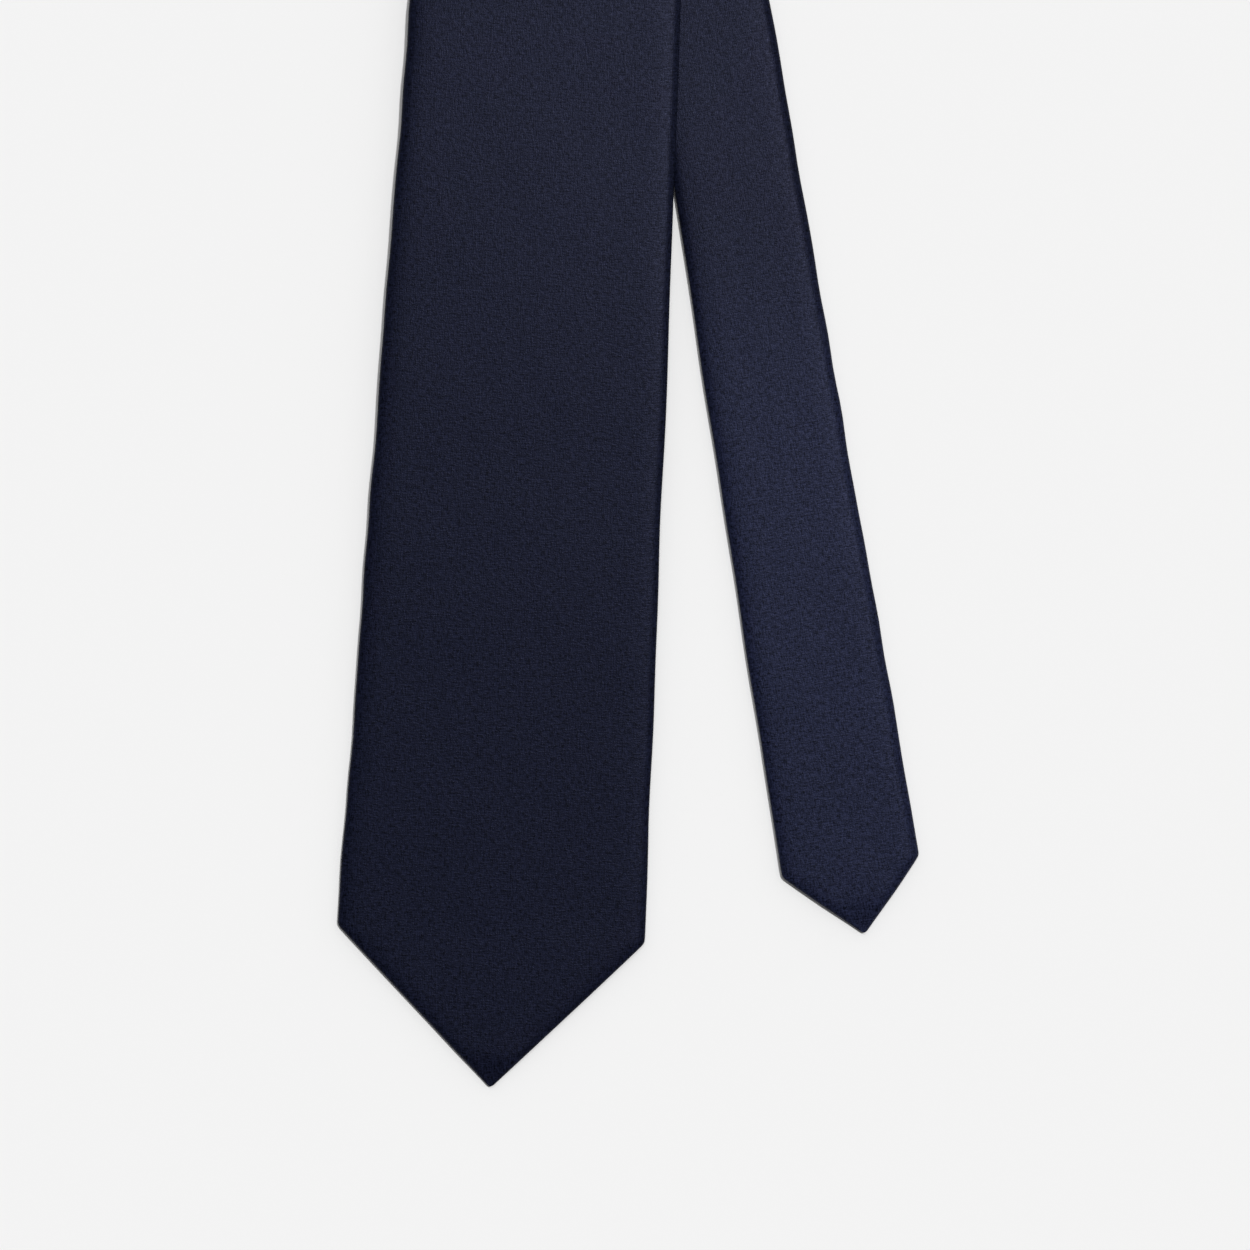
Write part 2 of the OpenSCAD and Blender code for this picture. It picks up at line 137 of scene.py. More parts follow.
def travel(leans, bend, s):
    """The way from a point's start to s: straight, then an arc, then straight again."""
    s = np.asarray(s, float)
    straight, past = np.minimum(s, bend[0]), np.maximum(s - bend[0] - bend[1], 0)
    lean, r = lean_at(leans, bend, s), bend[1] / (leans[1] - leans[0])
    x = straight * math.sin(leans[0]) + r * (math.cos(leans[0]) - np.cos(lean)) + past * math.sin(leans[1])
    y = straight * math.cos(leans[0]) + r * (np.sin(lean) - math.sin(leans[0])) + past * math.cos(leans[1])
    return np.stack([x, y], -1)


NECK_START = FRONT_CREASE.corner + FRONT_CREASE.slip
NECK_LENGTH = float(np.linalg.norm(TAIL_CREASE.corner + TAIL_CREASE.slip - NECK_START))
LEGS = TIE_LENGTH - FRONT_CREASE.round - TAIL_CREASE.round - NECK_LENGTH


def start_gap(front_length):
    """How far apart along Y the two starts come out, against what the lie says."""
    front_start = FRONT_CREASE.corner - travel(FRONT_LEANS, FRONT_BEND, front_length)
    tail_start = TAIL_CREASE.corner - travel(TAIL_LEANS, TAIL_BEND, LEGS - front_length)
    return (tail_start - front_start - TAIL_FROM_FRONT)[1]


# The gap changes in a straight line with the front's length, so two trials give the length that closes it.
TRIALS = (700.0, 800.0)
gaps = [start_gap(trial) for trial in TRIALS]
FRONT_LENGTH = float(TRIALS[0] - (TRIALS[1] - TRIALS[0]) * gaps[0] / (gaps[1] - gaps[0]))
TAIL_LENGTH = LEGS - FRONT_LENGTH
FRONT_START = FRONT_CREASE.corner - travel(FRONT_LEANS, FRONT_BEND, FRONT_LENGTH)
TAIL_START = TAIL_CREASE.corner - travel(TAIL_LEANS, TAIL_BEND, TAIL_LENGTH)
FRONT_END, TAIL_END = FRONT_LENGTH - FRONT_CREASE.apron, TAIL_LENGTH - TAIL_CREASE.apron
FRONT_PANEL_END = FRONT_END - SEAM_ROOM
NECK_FROM, NECK_TO = FRONT_CREASE.apron, NECK_LENGTH - TAIL_CREASE.apron

# Height of the front blade's middle: it climbs over the tail, then up to the fold's upper layer.
OVER_TAIL_Z, LAYER_Z = HALF_T + STRIP_T + 0.5, HALF_T + 2 * FOLD_R
CLIMB_AT = [0, 40, 84, 120, 180, 230, 590, 660]
CLIMB_TO = [HALF_T, HALF_T + 0.3, HALF_T + 1, HALF_T + 1.8, HALF_T + 2.9, OVER_TAIL_Z, OVER_TAIL_Z, LAYER_Z]
CLIMB_SOFT, CLIMB_SAMPLES = 16.0, 9        # its corners are rounded by averaging over this far each way


def front_height(s):
    shifts = np.linspace(-CLIMB_SOFT, CLIMB_SOFT, CLIMB_SAMPLES)
    return sum(np.interp(s + shift, CLIMB_AT, CLIMB_TO) for shift in shifts) / CLIMB_SAMPLES


POINT_FULLNESS = 0.45                      # how much wider a point is than its straight lines
TIP_R, TIP_LEAST = 1.3, 0.02               # a point's tip: its radius, and the least square of its half width
SHOULDER_SOFT, SHOULDER_FULL = 0.6, 0.15   # how far a shoulder is rounded, and the share of that given back
NEAR_SHOULDER = 30.0


def rounded_min(a, b, r):
    """The smaller of two, with the corner between them rounded."""
    return (a + b - np.sqrt((a - b) ** 2 + r * r) + r * SHOULDER_FULL) / 2


def half_width(s, wide, rate, shoulder, narrows):
    """Half the strip's width at s, with a blunt tip and softened shoulders."""
    line = wide - rate * (s - shoulder)
    straight = (NECK_WIDTH + (line - NECK_WIDTH) * (1 - ease((s - narrows[0]) / narrows[1]))) / 2
    from_tip = s + POINT_FULLNESS
    blade = np.where(s < shoulder + NEAR_SHOULDER, rounded_min(from_tip, straight, SHOULDER_SOFT), straight)
    tip = np.sqrt(np.maximum(TIP_R ** 2 - (TIP_R * math.sqrt(2) - from_tip) ** 2, TIP_LEAST))
    return np.where(from_tip < TIP_R / math.sqrt(2), np.minimum(tip, blade), blade)


FAR = 1e3                                  # a place on neither blade counts as this far from a point


class Stations:
    """Places along the strip, with its middle, the way across it, its normal and half its width.
    side is the way of one millimetre of u, and skew is how far that runs along the strip."""

    def __init__(self, middle, side, normal, half, along, skew, shoulder=None, from_point=None):
        n = len(along)
        self.middle, self.half, self.along, self.skew = middle, half, along, skew
        self.side = np.broadcast_to(side, (n, 3))
        self.normal = np.broadcast_to(normal, (n, 3))
        self.point_distance = np.full(n, FAR) if shoulder is None else from_point
        self.past_shoulder = np.full(n, FAR) if shoulder is None else np.maximum(from_point - shoulder, 0)

    def __len__(self):
        return len(self.along)

    def __add__(self, other):
        both = Stations.__new__(Stations)
        for name in vars(self):
            setattr(both, name, np.concatenate([getattr(self, name), getattr(other, name)]))
        return both


FACE_UP, FACE_DOWN = (0, 0, 1), (0, 0, -1)


def upright(xy, z):
    """Flat points at height z."""
    return np.column_stack([xy, np.broadcast_to(z, (len(xy),))])


def front_stations(s):
    """The front blade, at distances s from its point."""
    s = np.asarray(s, float)
    lean = lean_at(FRONT_LEANS, FRONT_BEND, s)
    up = np.stack([np.sin(lean), np.cos(lean)], -1)
    side = np.stack([np.cos(lean), -np.sin(lean)], -1)
    skew = -FRONT_CREASE.turn * clamp01((s - FRONT_END + SKEW_RUN) / SKEW_RUN)
    shift = POINT_SHIFT * (1 - clamp01(s / FRONT_SHOULDER))
    xy = FRONT_START + travel(FRONT_LEANS, FRONT_BEND, s) + shift[:, None] * side
    half = half_width(s, FRONT_WIDTH, FRONT_TAPER, FRONT_SHOULDER, FRONT_NARROWS)
    return Stations(upright(xy, front_height(s)), upright(side + skew[:, None] * up, 0), FACE_UP, half,
                    s, skew, FRONT_SHOULDER, s)


def tail_stations(t):
    """The tail, at distances t from its point."""
    t = np.asarray(t, float)
    lean = lean_at(TAIL_LEANS, TAIL_BEND, t)
    down = -np.stack([np.sin(lean), np.cos(lean)], -1)
    side = np.stack([-np.cos(lean), np.sin(lean)], -1)
    skew = (TAIL_CREASE.turn * clamp01((t - TAIL_END + SKEW_RUN) / SKEW_RUN)
            + clamp01(1 - np.abs(t - TAIL_SEAM) / SEAM_SKEW_RUN))
    shift = TAIL_POINT_SHIFT * (1 - clamp01(t / TAIL_SHOULDER))
    xy = TAIL_START + travel(TAIL_LEANS, TAIL_BEND, t) - shift[:, None] * side
    half = half_width(t, TAIL_WIDTH, TAIL_TAPER, TAIL_SHOULDER, TAIL_NARROWS)
    return Stations(upright(xy, HALF_T), upright(side + skew[:, None] * down, 0), FACE_UP, half,
                    TIE_LENGTH - t, skew, TAIL_SHOULDER, t)


def neck_stations(x):
    """The neck, at distances x from the front fold."""
    x = np.asarray(x, float)
    q = x / NECK_LENGTH
    skew = (-FRONT_CREASE.turn * clamp01((RISE[0] - q) / (RISE[0] - NECK_FROM / NECK_LENGTH))
            + TAIL_CREASE.turn * clamp01((q - RISE[1]) / (NECK_TO / NECK_LENGTH - RISE[1])))
    xy = NECK_START + x[:, None] * NECK_DIR
    z = HALF_T + 2 * FOLD_R * ease((q - RISE[0]) / (RISE[1] - RISE[0]))
    side = np.array([0.0, -1.0]) + skew[:, None] * NECK_DIR
    return Stations(upright(xy, z), upright(side, 0), FACE_DOWN, np.full(len(x), NECK_WIDTH / 2),
                    FRONT_LENGTH + FRONT_CREASE.round + x, skew)


def bend_stations(crease, turned, face, side, skew, from_along):
    """A fold's bend. turned runs from 0 at the upper layer to pi at the lower one."""
    past = turned if face > 0 else math.pi - turned
    out = np.append(crease.out, 0)
    ray = np.sin(turned)[:, None] * out + np.cos(turned)[:, None] * np.array(FACE_UP)
    xy = crease.corner + (FOLD_R * crease.turn * past)[:, None] * crease.along
    half = np.full(len(turned), NECK_WIDTH / 2)
    return Stations(upright(xy, CREASE_Z) + FOLD_R * ray, side, face * ray, half,
                    from_along + crease.round * turned / math.pi, np.full(len(turned), skew))


TURNED, INTO_FOLD = np.linspace(0, math.pi, 17), 4.0
front_side, neck_side = front_stations([FRONT_END]).side[0], neck_stations([NECK_TO]).side[0]
front_fold = (front_stations([FRONT_END, FRONT_END + INTO_FOLD])
              + bend_stations(FRONT_CREASE, TURNED, 1, front_side, -FRONT_CREASE.turn, FRONT_LENGTH)
              + neck_stations([NECK_FROM - INTO_FOLD, NECK_FROM]))
tail_fold = (neck_stations([NECK_TO, NECK_TO + INTO_FOLD])
             + bend_stations(TAIL_CREASE, TURNED, -1, neck_side, TAIL_CREASE.turn,
                             FRONT_LENGTH + FRONT_CREASE.round + NECK_LENGTH)
             + tail_stations([TAIL_END + INTO_FOLD, TAIL_END]))

# Where the strip gets extra stations: near each place of interest, and close to each tip.
FINE_OFFSETS = (-4, -2.5, -1.6, -1, -0.5, 0, 0.5, 1, 1.6, 2.5, 4)
LEAST_STEP = 0.12
TIP_PLACES = [0.1, 0.16, 0.3, 0.55, 0.9, 1.3, 1.9, 2.7, 3.7, 5, 6.4, 8.1, 10]
PAST_TIP_PLACES = 12.0
NECK_STEP, FRONT_TIPPING_STEP, TAIL_TIPPING_STEP = 3.0, 3.0, 2.5
STEP = 4.5


def steps(start, end, step, *fine):
    """Places from start to end at most step apart, with more beside each place in fine, such as a seam."""
    places = list(np.linspace(start, end, max(2, int(math.ceil(abs(end - start) / step)) + 1)))
    for centre in fine:
        places += [centre + offset for offset in FINE_OFFSETS]
    low, high = min(start, end), max(start, end)
    kept = sorted(p for p in places if low <= p <= high)
    kept = [kept[0]] + [b for a, b in zip(kept, kept[1:]) if b - a > LEAST_STEP]
    kept[-1] = high
    return np.array(kept if start < end else kept[::-1])


# ---------------------------------------------------------------- The cloth's soft form
rng = np.random.default_rng(11)
WAVE_GAIN = 1.6                            # brings the sum of a few waves up to about -1 to 1


class Waves:
    """A smooth random surface or line from -1 to 1, made of a few seeded waves."""

    def __init__(self, count, shortest, longest):
        length = np.exp(rng.uniform(math.log(shortest), math.log(longest), count))
        angle = rng.uniform(0, math.pi, count)
        self.u, self.s = 2 * math.pi * np.cos(angle) / length, 2 * math.pi * np.sin(angle) / length
        self.phase = rng.uniform(0, 2 * math.pi, count)
        self.share = length ** 0.5 / np.sum(length ** 0.5)

    def __call__(self, u, s):
        return sum(a * np.sin(ku * u + ks * s + p)
                   for a, ku, ks, p in zip(self.share, self.u, self.s, self.phase)) * WAVE_GAIN


RIPPLE, RIPPLE_H = Waves(14, 9, 60), 0.06
SWELL, SWELL_H = Waves(8, 60, 200), 0.08
LEFT_WOBBLE, RIGHT_WOBBLE, WOBBLE_U = Waves(9, 12, 100), Waves(9, 12, 100), 0.30
STEADY_HALF = 10.0                         # a strip with half its width below this wobbles less
EDGE_DROP, EDGE_RUN = 0.10, 7.0            # the share of the thickness lost at an edge, and how wide that is
TIP_T, TIP_RUN = 0.62, 9.0                 # a tip's share of the full thickness, and how far that reaches


def place(st, u, h):
    """Points u across and h above the strip's middle, a row for each station, with the soft form added.
    Everything in the strip goes through here, so that its layers stay in order."""
    along = st.along[:, None] + st.skew[:, None] * u
    half = st.half[:, None]
    across = u / np.maximum(half, 1)
    wobble = np.where(across > 0, RIGHT_WOBBLE(0, along), LEFT_WOBBLE(0, along))
    u_soft = u + WOBBLE_U * wobble * clamp01(half / STEADY_HALF) * np.minimum(np.abs(across), 1.0) ** 2
    run = np.minimum(EDGE_RUN, 0.5 * half)
    near_edge = 1 - clamp01((half - np.abs(u)) / run)
    tip = TIP_T + (1 - TIP_T) * ease(st.point_distance / TIP_RUN)[:, None]
    thick = tip * (1 - EDGE_DROP * near_edge ** 2)
    relief = RIPPLE_H * (RIPPLE(u, along) - 1) + SWELL_H * (SWELL(u, along) - 1)
    h_soft = -HALF_T + (h + HALF_T) * (thick + relief / STRIP_T)
    aside, above = u_soft[..., None] * st.side[:, None], h_soft[..., None] * st.normal[:, None]
    return st.middle[:, None] + aside + above, along


LOWER_COLUMNS, ROLL_COLUMNS, FACE_COLUMNS, UPPER_COLUMNS, TURN_COLUMNS = 8, 9, 27, 12, 7
MID_FACE = 1 + LOWER_COLUMNS + ROLL_COLUMNS + FACE_COLUMNS // 2
LEAST_ROLL = 0.1                           # the share of a roll's width that is left inside it near a tip
# The largest share that each part of the section takes of the room it has, which matters near a tip.
HEM_SHARE, ROLL_SHARE, TURN_SHARE, TURNED_SHARE = 0.9, 0.45, 0.4, 0.6


def envelope_side(st, inset):
    """The silk's section, outside (inset 0) or inside: from the lower flap's edge round the right roll, the
    face and the left roll to the upper flap and its turned edge. Near a tip every part shrinks to fit."""
    half = st.half
    hem = np.minimum(HEM_W, HEM_SHARE * half)
    flap = np.minimum(FLAP_PAST, -half + hem + st.past_shoulder)
    tuck = np.maximum(-TUCK_PAST, half - hem - st.past_shoulder)
    upper_x = np.minimum(UPPER_ROLL_X, ROLL_SHARE * half)
    lower_x = np.minimum(LOWER_ROLL_X, ROLL_SHARE * half)
    left, right = -half + upper_x, half - lower_x
    turn_r = np.minimum(TURN_R, TURN_SHARE * (flap - left))
    turned = np.minimum(TUCK_PAST, TURNED_SHARE * (flap - left))
    mid = (HALF_T + TUCK_H) / 2
    fold_u, fold_h = flap - turn_r, -HALF_T + TURN_R

    def arc(centre_u, rx, centre_h, ry, start, count):
        for a in np.radians(start + np.linspace(0, 180, count)):
            thin = np.maximum(rx - inset, LEAST_ROLL * rx)
            yield centre_u + thin * np.cos(a), centre_h + (ry - inset) * np.sin(a)

    def run(u0, u1, h, count):
        for t in np.arange(1, count + 1) / (count + 1):
            yield u0 + (u1 - u0) * t, h

    inset = inset + np.zeros_like(half)
    columns = [(tuck, TUCK_H + inset),
               *run(tuck, right, TUCK_H + inset, LOWER_COLUMNS),
               *arc(right, lower_x, mid, LOWER_ROLL, -90, ROLL_COLUMNS),
               *run(right, left, HALF_T - inset, FACE_COLUMNS),
               *arc(left, upper_x, 0.0, UPPER_ROLL, 90, ROLL_COLUMNS),
               *run(left, fold_u, -HALF_T + inset, UPPER_COLUMNS),
               *arc(fold_u, turn_r, fold_h, TURN_R, -90, TURN_COLUMNS),
               (flap - turned, np.full_like(half, fold_h + TURN_R - inset))]
    u, h = (np.stack(part, 1) for part in zip(*columns))
    return u, h


def developed(u, h):
    """How far round the section each column is, from the middle of the face."""
    steps_round = np.hypot(np.diff(u, axis=1), np.diff(h, axis=1))
    so_far = np.concatenate([np.zeros((len(u), 1)), np.cumsum(steps_round, 1)], 1)
    return u[:, MID_FACE, None] - (so_far - so_far[:, MID_FACE, None])


# ---------------------------------------------------------------- Meshes
def make_mesh(name, points, faces, strip, sharp=50):
    """An object from points in millimetres. strip is each point's place on the flat cloth, for its finish."""
    mesh = bpy.data.meshes.new(name)
    mesh.from_pydata((np.asarray(points) * MM).tolist(), [], faces)
    attribute = mesh.attributes.new("strip", "FLOAT_VECTOR", "POINT")
    attribute.data.foreach_set("vector", np.asarray(strip, np.float32).ravel())
    mesh.validate()
    mesh.shade_smooth()
    mesh.set_sharp_from_angle(angle=math.radians(sharp))
    obj = bpy.data.objects.new(name, mesh)
    bpy.context.scene.collection.objects.link(obj)
    return obj


def grid_faces(rows, cols, first=0, turn=False):
    """The quads of a grid of points, which start at number first."""
    i, j = np.meshgrid(np.arange(rows - 1), np.arange(cols - 1), indexing="ij")
    a = (first + i * cols + j).ravel()
    quads = np.stack([a, a + 1, a + cols + 1, a + cols], 1)
    return (quads[:, ::-1] if turn else quads).tolist()


def slab(name, outer, inner, outer_strip, inner_strip):
    """A closed sheet between its outside and its inside, two grids of points of the same size."""
    rows, cols = outer.shape[:2]
    below = rows * cols
    faces = grid_faces(rows, cols) + grid_faces(rows, cols, below, True)
    for i in range(rows - 1):
        a, d, b, c = i * cols, (i + 1) * cols, i * cols + cols - 1, (i + 1) * cols + cols - 1
        faces += [[a, d, below + d, below + a], [c, b, below + b, below + c]]
    last = (rows - 1) * cols
    for j in range(cols - 1):
        faces += [[j + 1, j, below + j, below + j + 1],
                  [last + j, last + j + 1, below + last + j + 1, below + last + j]]
    points = np.concatenate([outer.reshape(-1, 3), inner.reshape(-1, 3)])
    strip = np.concatenate([outer_strip.reshape(-1, 3), inner_strip.reshape(-1, 3)])
    return make_mesh(name, points, faces, strip)


# ---------------------------------------------------------------- Finishes
class Shader:
    """A short way to write a shader: each call adds a node and gives its output."""

    def __init__(self, name):
        self.material = bpy.data.materials.new(name)
        self.material.use_nodes = True
        self.tree = self.material.node_tree
        self.surface = self.tree.nodes["Principled BSDF"]
        strip = self.tree.nodes.new("ShaderNodeAttribute")
        strip.attribute_name = "strip"
        self.strip = strip.outputs["Vector"]

    def put(self, socket, value):
        if isinstance(value, bpy.types.NodeSocket):
            self.tree.links.new(value, socket)
        else:
            socket.default_value = value

    def set(self, **values):
        for name, value in values.items():
            self.put(self.surface.inputs[name.replace("_", " ")], value)

    def math(self, operation, *values, clamp=False):
        """One step of arithmetic, such as MULTIPLY_ADD: the first times the second, plus the third."""
        node = self.tree.nodes.new("ShaderNodeMath")
        node.operation, node.use_clamp = operation, clamp
        for socket, value in zip(node.inputs, values):
            self.put(socket, value)
        return node.outputs[0]

    def scaled(self, vector, scale):
        node = self.tree.nodes.new("ShaderNodeVectorMath")
        node.operation = "MULTIPLY"
        self.put(node.inputs[0], vector)
        self.put(node.inputs[1], scale)
        return node.outputs[0]

    def parts(self, vector):
        node = self.tree.nodes.new("ShaderNodeSeparateXYZ")
        self.put(node.inputs[0], vector)
        return node.outputs

    def noise(self, vector, scale=1.0, detail=2.0, roughness=0.5):
        node = self.tree.nodes.new("ShaderNodeTexNoise")
        self.put(node.inputs["Vector"], vector)
        self.put(node.inputs["Scale"], scale)
        self.put(node.inputs["Detail"], detail)
        self.put(node.inputs["Roughness"], roughness)
        return node.outputs[0]

    def between(self, value, low, high, to_low, to_high):
        node = self.tree.nodes.new("ShaderNodeMapRange")
        for socket, v in zip(node.inputs, (value, low, high, to_low, to_high)):
            self.put(socket, v)
        return node.outputs[0]

    def blend(self, share, a, b):
        node = self.tree.nodes.new("ShaderNodeMix")
        node.data_type = "RGBA"
        self.put(node.inputs["Factor"], share)
        self.put(node.inputs["A"], (*a, 1) if isinstance(a, tuple) else a)
        self.put(node.inputs["B"], (*b, 1) if isinstance(b, tuple) else b)
        return node.outputs["Result"]

    def wave(self, value, length):
        """A sine from 0 to 1 with that length in millimetres."""
        turned = self.math("SINE", self.math("MULTIPLY", value, 2 * math.pi / length))
        return self.math("MULTIPLY_ADD", turned, 0.5, 0.5)

    def bump(self, height, depth):
        """Relief whose height runs from 0 to 1 over a depth in millimetres."""
        node = self.tree.nodes.new("ShaderNodeBump")
        self.put(node.inputs["Height"], height)
        node.inputs["Distance"].default_value = depth * MM
        self.put(self.surface.inputs["Normal"], node.outputs[0])


SILK_DARK, SILK_LIGHT = (0.0002, 0.0004, 0.0012), (0.0098, 0.0119, 0.0282)
SILK_SHEEN, SILK_GLOSS = (0.59, 0.63, 1.0), 0.064   # its sheen is blue, because it comes through dyed fibres
SILK_ROUGH = (0.40, 0.29)                           # roughness between the slubs, and on them
TAIL_PAINTED_SHEEN, PAINTED_SHEEN_FROM, PAINTED_SHEEN_TO = 1.85, 130.0, 190.0      # painted sheen: how much lighter the tail's end is painted, and where that fades, leaving the tail painted darker under the front blade
RIBS_ACROSS, RIBS_ALONG = 0.47, 0.43                # the weave's spacing both ways
SLUB_LONG, SLUB_WIDE = 0.6, 2.2                     # changes per millimetre along a slub's yarn and across it


def silk_finish(name):
    """Matt navy silk: ribs both ways with slubs in the yarn, which read as a fine grain from a distance, and
    painted sheen on the tail's end.
    """
    f = Shader(name)
    across, along, _ = f.parts(f.strip)
    warp_slubs = f.noise(f.scaled(f.strip, (SLUB_WIDE, SLUB_LONG, 1)), 1.0, 3.0, 0.6)
    weft_slubs = f.noise(f.scaled(f.strip, (SLUB_LONG, SLUB_WIDE, 1)), 1.0, 3.0, 0.6)
    slubs = f.math("MULTIPLY_ADD", f.math("ADD", warp_slubs, weft_slubs), 3.6, -3.1)
    fine = f.math("MULTIPLY_ADD", f.noise(f.strip, 2.9, 1.0, 0.5), 1.3, -0.4)
    ribs = f.math("MULTIPLY", f.wave(across, RIBS_ACROSS), f.wave(along, RIBS_ALONG))
    grain = f.math("ADD", f.math("MULTIPLY", slubs, 0.5), fine, clamp=True)
    broad = f.noise(f.strip, 0.035, 2.0, 0.5)
    ribbed = f.math("MULTIPLY_ADD", ribs, 0.06, f.math("ADD", grain, -0.08))
    colour = f.blend(f.math("MULTIPLY_ADD", broad, 0.12, ribbed), SILK_DARK, SILK_LIGHT)
    # Painted sheen lightens the tail's end. It fades out towards the neck, which leaves painted shade where
    # the tail passes under the front blade.
    painted_sheen = f.between(along, TIE_LENGTH - PAINTED_SHEEN_TO, TIE_LENGTH - PAINTED_SHEEN_FROM, 1.0, TAIL_PAINTED_SHEEN)
    f.set(Base_Color=f.scaled(colour, painted_sheen), Roughness=f.between(grain, 0, 1, *SILK_ROUGH),
          Specular_IOR_Level=SILK_GLOSS, Specular_Tint=(*SILK_SHEEN, 1))
    f.bump(f.math("MULTIPLY_ADD", ribs, 0.3, grain), 0.03)
    return f.material


def twill_finish(name, dark, light, rib, depth, roughness, gloss):
    """A lining or interlining: diagonal ribs with that spacing and depth, and uneven yarn."""
    f = Shader(name)
    across, along, _ = f.parts(f.strip)
    ribs = f.wave(f.math("ADD", across, along), rib)
    uneven = f.noise(f.strip, 1.1, 3.0, 0.6)
    height = f.math("MULTIPLY_ADD", ribs, 0.5, f.math("MULTIPLY", uneven, 0.5))
    f.set(Base_Color=f.blend(height, dark, light), Roughness=roughness, Specular_IOR_Level=gloss)
    f.bump(height, depth)
    return f.material


PLY = 0.55                                          # how far a thread's twist takes for one turn


def thread_finish(name, dark, light):
    """Twisted thread. Its strip place is (round the thread, along it)."""
    f = Shader(name)
    around, along, _ = f.parts(f.strip)
    plies = f.wave(f.math("ADD", around, along), PLY)
    fuzz = f.noise(f.strip, 6.0, 2.0)
    height = f.math("MULTIPLY_ADD", plies, 0.7, f.math("MULTIPLY", fuzz, 0.3))
    f.set(Base_Color=f.blend(height, dark, light), Roughness=0.5, Specular_IOR_Level=0.06)
    f.bump(height, 0.04)
    return f.material


LINE_IN, LINE_HALF = 2.9, 0.28                      # the line round a label: how far in, and half its width


def framed_finish(name, ground, line, half_u, s0, s1, sheen):
    """A blank woven label or tag with a plain line round it."""
    f = Shader(name)
    across, along, _ = f.parts(f.strip)
    side = f.math("SUBTRACT", half_u, f.math("ABSOLUTE", across))
    end = f.math("MINIMUM", f.math("SUBTRACT", along, s0), f.math("SUBTRACT", s1, along))
    edge = f.math("MINIMUM", side, end)
    frame_line = f.math("COMPARE", edge, LINE_IN, LINE_HALF)
    weft = f.wave(along, 0.36)
    yarn = f.noise(f.scaled(f.strip, (0.6, 3.0, 1)), 1.2, 2.0)
    shade = f.math("MULTIPLY_ADD", weft, 0.35, f.math("MULTIPLY", yarn, 0.65))
    shaded = tuple(0.72 * c for c in ground)
    f.set(Base_Color=f.blend(frame_line, f.blend(shade, shaded, ground), line), Roughness=0.42,
          Specular_IOR_Level=0.15, Sheen_Weight=sheen, Sheen_Roughness=0.35)
    f.bump(f.math("MULTIPLY_ADD", frame_line, 0.5, shade), 0.03)
    return f.material


LABEL_S, LABEL_H, LABEL_HALF = 245.0, 32.0, 19.0
TAG_S, TAG_H, TAG_HALF = 215.0, 22.0, 8.0
FINISHES = {
    "silk": silk_finish("navy_silk"),
    "thread": thread_finish("navy_thread", (0.0015, 0.0025, 0.008), (0.009, 0.014, 0.040)),
    "interlining": twill_finish("wool_interlining", (0.52, 0.50, 0.43), (0.78, 0.76, 0.69),
                                rib=1.4, depth=0.15, roughness=0.9, gloss=0.1),
    "tipping": twill_finish("satin_tipping", (0.004, 0.006, 0.018), (0.014, 0.020, 0.048),
                            rib=0.6, depth=0.03, roughness=0.36, gloss=0.07),
    "label": framed_finish("woven_label", (0.016, 0.022, 0.055), (0.26, 0.27, 0.31),
                           LABEL_HALF, LABEL_S, LABEL_S + LABEL_H, sheen=0.15),
    "care_tag": framed_finish("satin_tag", (0.80, 0.80, 0.77), (0.32, 0.33, 0.36),
                              TAG_HALF, TAG_S, TAG_S + TAG_H, sheen=0.1),
}

# ---------------------------------------------------------------- Pieces
BEND_HALF = 0.7                            # a height each side of a fold's crease; the points it gives are not used


def join_body(obj, body):
    """A piece rides on one body; one that crosses a fold only has its transform baked into its mesh."""
    if isinstance(body, str):
        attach(obj, body)
    else:
        upper, lower = (0, 0, (CREASE_Z + BEND_HALF) * MM), (0, 0, (CREASE_Z - BEND_HALF) * MM)
        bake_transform(obj)
        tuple(upper)
        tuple(lower)


def add_piece(obj, node, slot, body):
    """Gives a piece its finish, and puts it in the place of its CAD node."""
    obj.data.materials.append(FINISHES[slot])
    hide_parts(node)
    join_body(obj, body)


def declare(obj, st, width):
    """Works out a sheet of cloth's area from its flat width at each station, so its size comes from the
    pattern; nothing uses it.
    """
    lengths = np.abs(np.diff(st.along))
    area = float(np.sum((width[1:] + width[:-1]) / 2 * lengths))


SEAMS_AT = (FRONT_PANEL_END + SEAM_ROOM / 2, TIE_LENGTH - TAIL_SEAM - SEAM_ROOM / 2)
SEAM_DIP, SEAM_DIP_RUN, SEAM_THREAD_IN = 0.14, 0.9, 0.17


def seam_groove(along):
    """How far the silk dips into a piecing seam."""
    return sum(SEAM_DIP * np.exp(-((along - s) / SEAM_DIP_RUN) ** 2) for s in SEAMS_AT)


def envelope_slab(name, st, inset, inner_layer):
    """A closed sheet round the section, from inset to SILK_T below its outside, and its flat width at each
    station. inner_layer sets the finish's grain on the inside apart from the outside's."""
    outside, inside = envelope_side(st, inset), envelope_side(st, SILK_T)
    v = developed(*outside)
    outer, along = place(st, *outside)
    inner, along_in = place(st, *inside)
    outer_strip = np.stack([v, along, np.zeros_like(v)], -1)
    inner_strip = np.stack([v, along_in, np.full_like(v, inner_layer)], -1)
    return slab(name, outer, inner, outer_strip, inner_strip), v.max(1) - v.min(1)


def add_silk(name, st, node, body):
    """The silk envelope along some stations, which dips into the piecing seams."""
    obj, width = envelope_slab(name, st, seam_groove(st.along), 1)
    add_piece(obj, node, "silk", body)
    declare(obj, st, width)


def add_seam(name, st, node, body):
    """The line of thread in a piecing seam, a little below the silk's surface."""
    obj, _ = envelope_slab(name, st, SEAM_THREAD_IN, 0)
    add_piece(obj, node, "thread", body)


def slab_between(name, st, u, low, high):
    """A closed sheet across u, between two heights."""
    top, along = place(st, u, high)
    bottom, _ = place(st, u, low)
    strip = np.stack([u, along, np.zeros_like(u)], -1)
    return slab(name, top, bottom, strip, strip)


